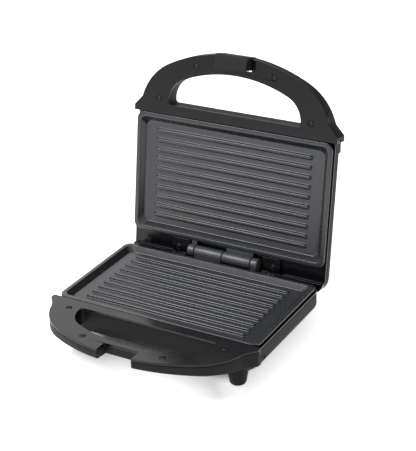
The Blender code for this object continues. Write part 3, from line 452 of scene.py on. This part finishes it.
def quarter(radius, steps):
    # (out, up) along a quarter circle, from straight up to straight out
    turns = [math.pi / 2 * i / steps for i in range(steps + 1)]
    return [(radius * math.sin(turn), radius * math.cos(turn)) for turn in turns]


def lathe(shape, profile, along, centre, steps=48, closed=False):
    # a profile of (distance along, radius) turned about an axis through the centre
    side = Vector((0, 1, 0)) if along.x else Vector((1, 0, 0))
    verts = [shape.verts.new(centre + along * at + side * radius) for at, radius in profile]
    pairs = list(zip(verts, verts[1:]))
    if closed:
        pairs.append((verts[-1], verts[0]))
    edges = [shape.edges.new(pair) for pair in pairs]
    bmesh.ops.spin(
        shape,
        geom=verts + edges,
        axis=along,
        cent=centre,
        steps=steps,
        angle=math.tau,
        use_merge=True,
    )
    bmesh.ops.remove_doubles(shape, verts=shape.verts, dist=shaping["fineWeld"])


def softBox(shape, low, high, width):
    low, high = Vector(low), Vector(high)
    verts = bmesh.ops.create_cube(shape, size=1.0)["verts"]
    bmesh.ops.scale(shape, vec=high - low, verts=verts)
    bmesh.ops.translate(shape, vec=(low + high) / 2, verts=verts)
    edges = list({e for v in verts for e in v.link_edges})
    bmesh.ops.bevel(
        shape,
        geom=edges,
        offset=width,
        segments=3,
        profile=0.5,
        affect="EDGES",
        material=-1,
    )


# cooking plates

plate = {
    "width": 0.218,
    "corner": 0.008,
    "rimThickness": 0.002,
    "rimInner": 0.0048,
    "innerCorner": 0.0062,
    "floor": -0.005,
    "under": -0.008,
    "dishInset": 0.0035,
    "rimRound": 0.0008,
    "rimEdge": 0.0003,
    "rimLean": 0.00005,
    "footStep": 0.0002,
    "footRun": 0.0022,
    "footRise": 0.0020,
    "lipRound": 0.0009,
    "floorFillet": 0.0014,
    "wallLean": 0.0037,
    "ribPitch": 0.0099,
    "ribSideMargin": 0.022,
    "ribFrontMargin": 0.0179,
    "ribHalfWidth": 0.0020,
    "ribHeight": 0.0025,
    "ribFlare": 0.0008,
    "ribRoot": ((1.0, -0.0004), (1.0, 0.00002), (0.3, 0.00025), (0.0, 0.0008)),
    "knuckleRadius": 0.0061,
    "knuckleLength": 0.0314,
    "ringLength": 0.0072,
    "armThickness": 0.0032,
    "armInside": 0.0006,
    "armOverlap": 0.0030,
    "armRound": 0.0005,
    "armTopShare": 0.4,
    "armBackShare": 0.45,
    "knuckleEdge": 0.0006,
    "knuckleSpacing": 0.0008,
    "bore": 0.0028,
    "postX": 0.055,
    "postRadius": 0.0040,
    "postLow": -0.0174,
    "postBore": 0.0018,
    "postEdge": 0.0003,
    "postOverlap": 0.0004,
}


def plateShell(shape):
    halfX, halfY = plate["width"] / 2, press["plateDepth"] / 2
    floor, lip, rim = plate["floorFillet"], plate["lipRound"], plate["rimRound"]
    foot = plate["rimInner"] + plate["wallLean"]
    profile = [(foot + floor - out, plate["floor"] + floor - up) for out, up in quarter(floor, 5)]
    profile += [(plate["rimInner"] + up - lip, out - lip) for out, up in quarter(lip, 4)]
    profile += [(rim - out, up - rim) for out, up in quarter(rim, 4)]
    rimUnder, dish, under = -plate["rimThickness"], plate["dishInset"], plate["under"]
    edge = plate["rimEdge"]
    profile += [(0.0, rimUnder + edge), (edge, rimUnder), (dish, rimUnder - plate["rimLean"])]
    profile.append((dish + plate["footStep"], under + plate["footRise"]))
    profile.append((dish + plate["footRun"], under))
    rings = []
    for inset, z in profile:
        onRim = inset < rim * 2
        corner = plate["corner"] - inset if onRim else plate["innerCorner"] - z * 0.1
        rings.append((halfX - inset, halfY - inset, corner, z))
    stack(shape, rings, 8)


def ribs(shape):
    half = plate["width"] / 2 - plate["ribSideMargin"]
    wide, tall, flare = plate["ribHalfWidth"], plate["ribHeight"], plate["ribFlare"]
    steps = int((press["plateDepth"] - 2 * plate["ribFrontMargin"]) / plate["ribPitch"])
    crown = wide * 0.8
    profile = [(flare * share, z) for share, z in plate["ribRoot"]]
    profile += [(out - crown, tall - crown + up) for out, up in reversed(quarter(crown, 5))]
    rings = []
    for grow, z in profile:
        rings.append((half + grow, wide + grow, (wide + grow) * 0.97, plate["floor"] + z))
    for i in range(steps + 1):
        stack(shape, rings, 6, (0, (i - steps / 2) * plate["ribPitch"], 0))


def knuckles(shape):
    # one long barrel left of the middle and one short ring at the right, each on its own arm
    reach = plate["knuckleLength"] + plate["knuckleSpacing"] / 2
    first = (-reach, -plate["knuckleSpacing"] / 2)
    ringStart = reach + plate["knuckleSpacing"]
    second = (ringStart, ringStart + plate["ringLength"])
    along, centre = Vector((1, 0, 0)), Vector((0, hingeY, hingeZ))
    outer, inner, edge = plate["knuckleRadius"], plate["bore"], plate["knuckleEdge"]
    armTop = -plate["rimThickness"] * plate["armTopShare"]
    armFront = press["plateDepth"] / 2 - plate["armOverlap"]
    armBack = hingeY - outer * plate["armBackShare"]
    for left, right in (first, second):
        profile = [(left, inner), (left, outer - edge)]
        profile += [(left + edge - up, outer - edge + out) for out, up in quarter(edge, 3)]
        profile += [(right - edge + out, outer - edge + up) for out, up in quarter(edge, 3)]
        profile += [(right, outer - edge), (right, inner)]
        lathe(shape, profile, along, centre, 48, closed=True)
        low = (left + plate["armInside"], armFront, armTop - plate["armThickness"])
        softBox(shape, low, (right - plate["armInside"], armBack, armTop), plate["armRound"])


def posts(shape):
    low, high = plate["postLow"], plate["under"] + plate["postOverlap"]
    outer, inner, edge = plate["postRadius"], plate["postBore"], plate["postEdge"]
    profile = [(low, inner), (low, outer - edge), (low + edge, outer), (high, outer), (high, inner)]
    for side in (-1, 1):
        centre = Vector((side * plate["postX"], 0, 0))
        lathe(shape, profile, Vector((0, 0, 1)), centre, 24, closed=True)


for half, node in (("base", "lower_grill_plate"), ("lid", "upper_grill_plate")):
    shape = bmesh.new()
    plateShell(shape)
    ribs(shape)
    knuckles(shape)
    posts(shape)
    bmesh.ops.recalc_face_normals(shape, faces=shape.faces)
    slot, place = "coated_aluminium", places[half]
    made = settle(shape, node + "_cast", half, castings[half], [node], place, 50)
    print(node, "cast with", len(made.data.polygons), "faces")


# shells, faces and the latch clip

edges = {"shell": 0.0007, "bezel": 0.0006, "clip": 0.0006}

softened("base_shell", "base", "black_plastic", edges["shell"])
softened("lid_shell", "lid", "black_plastic", edges["shell"])
softened("base_bezel", "base", "gloss_black_plastic", edges["bezel"])
softened("lid_bezel", "lid", "gloss_black_plastic", edges["bezel"])
softened("latch_clip", "latch", "black_plastic", edges["clip"], clipPlastic)
print("shells, faces and clip softened")


# screws

screw = {
    "headRadius": 0.0023,
    "headHeight": 0.0012,
    "shankRadius": 0.0015,
    "length": 0.009,
    "slotLength": 0.0028,
    "slotWidth": 0.0007,
    "slotDepth": 0.0008,
    "threadPitch": 0.0007,
    "threadFlat": 0.0003,
    "threadRoot": 0.0005,
    "threadDepth": 0.86,
    "threadStop": 0.0022,
    "pointLength": 0.0012,
    "pointShare": 0.7,
    "flatShare": 0.55,
    "crownRise": (0.45, 0.52),
    "crownReach": (0.62, 0.38),
    "turnStep": 0.7,
}


def crossCutter():
    # two crossed wedges, for the recess in a screw head
    shape = bmesh.new()
    top = screw["headHeight"]
    size = (screw["slotLength"], screw["slotWidth"])
    for wide, deep in (size, size[::-1]):
        verts = bmesh.ops.create_cube(shape, size=1.0)["verts"]
        bmesh.ops.scale(shape, vec=(wide, deep, screw["slotDepth"] * 2), verts=verts)
        bmesh.ops.translate(shape, vec=(0, 0, top), verts=verts)
    mesh = bpy.data.meshes.new("cross")
    shape.to_mesh(mesh)
    shape.free()
    return mesh


def screwShape():
    shape = bmesh.new()
    rise, head, shank = screw["headHeight"], screw["headRadius"], screw["shankRadius"]
    riseFrom, riseBy = screw["crownRise"]
    reachFrom, reachBy = screw["crownReach"]
    profile = [(rise, 0.0), (rise, head * screw["flatShare"])]
    for out, up in quarter(1.0, 5):
        at = rise * riseFrom + rise * riseBy * up
        profile.append((at, head * reachFrom + head * reachBy * out))
    profile += [(0.0, head), (0.0, shank)]
    thread, end, root = 0.0, -screw["length"], shank * screw["threadDepth"]
    while thread > end + screw["threadStop"]:
        profile += [(thread - screw["threadFlat"], shank), (thread - screw["threadRoot"], root)]
        thread -= screw["threadPitch"]
    profile += [(end + screw["pointLength"], shank * screw["pointShare"]), (end, 0.0)]
    lathe(shape, profile, Vector((0, 0, 1)), Vector((0, 0, 0)), 32)
    bmesh.ops.recalc_face_normals(shape, faces=shape.faces)
    mesh = bpy.data.meshes.new("screw")
    shape.to_mesh(mesh)
    shape.free()
    blank = bpy.data.objects.new("screwBlank", mesh)
    cross = bpy.data.objects.new("screwCross", crossCutter())
    for item in (blank, cross):
        bpy.context.scene.collection.objects.link(item)
    recess = blank.modifiers.new("Recess", "BOOLEAN")
    recess.operation = "DIFFERENCE"
    recess.object = cross
    recess.use_self = True
    graph = bpy.context.evaluated_depsgraph_get()
    done = bpy.data.meshes.new_from_object(blank.evaluated_get(graph))
    for item in (blank, cross):
        bpy.data.objects.remove(item)
    return done


def cornersIn(inverse, node):
    # the low and high corner of a CAD node's box in a half frame
    points = [inverse @ Vector(v.co) for v in frame["nodes"][node].data.vertices]
    low = Vector([min(point[i] for point in points) for i in range(3)])
    high = Vector([max(point[i] for point in points) for i in range(3)])
    return low, high


screwMesh = screwShape()
screwNodes = [n for n in frame["nodes"] if "screw" in n]
for index, node in enumerate(sorted(screwNodes)):
    half = "base" if node.startswith(("base", "lower")) else "lid"
    inverse = places[half].inverted()
    low, high = cornersIn(inverse, node)
    middle = (low + high) / 2
    # neighbouring screws stop at different angles
    turn = Matrix.Rotation(screw["turnStep"] * index, 4, "Z")
    if "plate" in node:
        # a plate's screws are driven from the outside of its half
        seat = low.z + screw["headHeight"]
        turn = Matrix.Rotation(math.pi, 4, "X") @ turn
    else:
        seat = high.z - screw["headHeight"]
    shape = bmesh.new()
    shape.from_mesh(screwMesh)
    place = places[half] @ Matrix.Translation((middle.x, middle.y, seat)) @ turn
    settle(shape, node + "_head", half, paints["dark_steel"], [node], place, 35)
print("screws:", len(screwNodes))


# small turned pieces


def turnedPiece(node, body, slotName, profile, centre, along=Vector((0, 0, 1)), place=None):
    shape = bmesh.new()
    lathe(shape, profile, along, centre)
    bmesh.ops.recalc_face_normals(shape, faces=shape.faces)
    return settle(shape, node + "_turned", body, paints[slotName], [node], place, 40)


def middleOf(node):
    low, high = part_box(node)
    return (low + high) / 2, (high - low) / 2


pad = {"edge": 0.0005, "hollow": 0.0003, "ringOuter": 0.72, "ringInner": 0.68}

for node in [n for n in frame["nodes"] if n.startswith("foot_pad")]:
    middle, half = middleOf(node)
    radius, rise, edge = half.x, half.z, pad["edge"]
    inside = -rise + pad["hollow"]
    profile = [(rise, 0.0), (rise, radius - edge)]
    profile += [(rise - edge + up, radius - edge + out) for out, up in quarter(edge, 3)]
    profile += [(-rise + edge - up, radius - edge + out) for out, up in reversed(quarter(edge, 3))]
    profile += [(-rise, radius * pad["ringOuter"])]
    profile += [(inside, radius * pad["ringInner"]), (inside, 0.0)]
    turnedPiece(node, "base", "black_rubber", profile, middle)

pins = {
    "hinge_pin": {"body": "base", "across": "y", "chamfer": 0.0006, "tip": 0.6},
    "latch_pin": {"body": "lid", "across": "z", "chamfer": 0.0004, "tip": 0.7},
}

for node, facts in pins.items():
    middle, half = middleOf(node)
    reach, radius = half.x, getattr(half, facts["across"])
    profile = [(-reach, 0.0), (-reach, radius * facts["tip"]), (-reach + facts["chamfer"], radius)]
    profile += [(-at, out) for at, out in reversed(profile)]
    turnedPiece(node, facts["body"], "bright_steel", profile, middle, Vector((1, 0, 0)))

# distance from the outer face and share of the radius, from the shoulder to the crown
lens = ((0.0008, 1.0), (0.0005, 0.97), (0.0002, 0.82), (0.00005, 0.45), (0.0, 0.0))

for node, tint in (("power_lens", "red_lens"), ("ready_lens", "green_lens")):
    start, end = cornersIn(lidPlace.inverted(), node)
    centre = Vector(((start.x + end.x) / 2, (start.y + end.y) / 2, 0.0))
    radius = (end.x - start.x) / 2
    profile = [(end.z, 0.0), (end.z, radius)]
    profile += [(start.z + at, radius * share) for at, share in lens]
    turnedPiece(node, "lid", tint, profile, centre, place=lidPlace)
print("small turned pieces done")


# stage, light and camera


def worktopFinish(base, roughness):
    paint = Paint("worktop", base, roughness)
    cloud = paint.noise(3.0, 2.0)
    paint.colour(paint.mix(cloud, base, tuple(c * 0.985 for c in base)))
    return paint


# the box under the press where the floor's glow is masked off: a painted contact shadow, soft at
# its edge
paintedShadowBox = {"halfX": 0.066, "halfY": 0.058, "middleY": -0.012, "edge": 0.014, "softness": 0.036}
stage = {"size": 6.0, "below": 0.0002, "tone": (0.90, 0.90, 0.90), "roughness": 0.75, "glow": 0.60}
floorMesh = bpy.data.meshes.new("worktop")
shape = bmesh.new()
bmesh.ops.create_grid(shape, x_segments=1, y_segments=1, size=stage["size"])
shape.to_mesh(floorMesh)
shape.free()
top = worktopFinish(stage["tone"], stage["roughness"]).fixed(Emission_Strength=stage["glow"])
# glowing as a light table does, except under the press, where the glow is masked to black as a
# painted contact shadow
across = top.axis("x").size() - paintedShadowBox["halfX"]
along = (top.axis("y") - paintedShadowBox["middleY"]).size() - paintedShadowBox["halfY"]
clearOfPaintedShadow = across.most(along).above(paintedShadowBox["edge"], paintedShadowBox["softness"])
top.feed("Emission Color", top.mix(clearOfPaintedShadow, (0.0, 0.0, 0.0), (1.0, 1.0, 1.0)))
floorMesh.materials.append(top.material)
worktop = bpy.data.objects.new("worktop", floorMesh)
worktop.location.z = -stage["below"]
bpy.context.scene.collection.objects.link(worktop)

world = bpy.data.worlds.new("studio")
bpy.context.scene.world = world
world.use_nodes = True
sky = {"towards": (-0.62, -0.22, 0.75), "dark": 0.16, "bright": 1.02, "spread": (-0.5, 0.9)}
tree = world.node_tree
direction = tree.nodes.new("ShaderNodeTexCoord").outputs["Generated"]
facing = tree.nodes.new("ShaderNodeVectorMath")
facing.operation = "DOT_PRODUCT"
facing.inputs[1].default_value = Vector(sky["towards"]).normalized()
tree.links.new(direction, facing.inputs[0])
glow = tree.nodes.new("ShaderNodeMapRange")
glow.interpolation_type = "SMOOTHSTEP"
glow.inputs["From Min"].default_value, glow.inputs["From Max"].default_value = sky["spread"]
glow.inputs["To Min"].default_value = sky["dark"]
glow.inputs["To Max"].default_value = sky["bright"]
tree.links.new(facing.outputs["Value"], glow.inputs["Value"])
tree.links.new(glow.outputs["Result"], tree.nodes["Background"].inputs["Strength"])
tree.nodes["Background"].inputs["Color"].default_value = (1.0, 1.0, 1.0, 1.0)

lights = {
    "keyLight": {"at": (-0.55, -0.55, 1.05), "size": 0.7, "watts": 9.0},
    "fillLight": {"at": (0.85, -0.75, 0.55), "size": 0.9, "watts": 2.5},
    "backLight": {"at": (-0.75, 0.65, 0.75), "size": 0.6, "watts": 0.8},
}
aim = Vector((0, 0, 0.09))
for name, facts in lights.items():
    lamp = bpy.data.lights.new(name, "AREA")
    lamp.shape = "DISK"
    lamp.size = facts["size"]
    lamp.energy = facts["watts"]
    holder = bpy.data.objects.new(name, lamp)
    holder.location = facts["at"]
    holder.rotation_euler = (aim - holder.location).to_track_quat("-Z", "Y").to_euler()
    bpy.context.scene.collection.objects.link(holder)

view = {
    "azimuth": math.radians(30.60),
    "elevation": math.radians(25.94),
    "roll": math.radians(-2.27),
    "distance": 1.1851,
    "target": (0.0486, -0.0350, 0.1405),
    "lens": 105.54,
    "sensor": 36.0,
    "clip": (0.05, 30.0),
}
turn, rise, roll = view["azimuth"], view["elevation"], view["roll"]
back = Vector((math.sin(turn) * math.cos(rise), -math.cos(turn) * math.cos(rise), math.sin(rise)))
right = (-back).cross(Vector((0, 0, 1))).normalized()
up = right.cross(-back).normalized()
rolledRight = math.cos(roll) * right + math.sin(roll) * up
rolledUp = math.cos(roll) * up - math.sin(roll) * right
camera = bpy.data.objects.new("camera", bpy.data.cameras.new("camera"))
camera.data.lens = view["lens"]
camera.data.sensor_width = view["sensor"]
camera.data.clip_start, camera.data.clip_end = view["clip"]
pose = Matrix((rolledRight, rolledUp, back)).transposed().to_4x4()
camera.matrix_world = Matrix.Translation(Vector(view["target"]) + back * view["distance"]) @ pose
bpy.context.scene.collection.objects.link(camera)
bpy.context.scene.camera = camera
bpy.context.scene.view_settings.view_transform = "Standard"
print("camera and lights set")
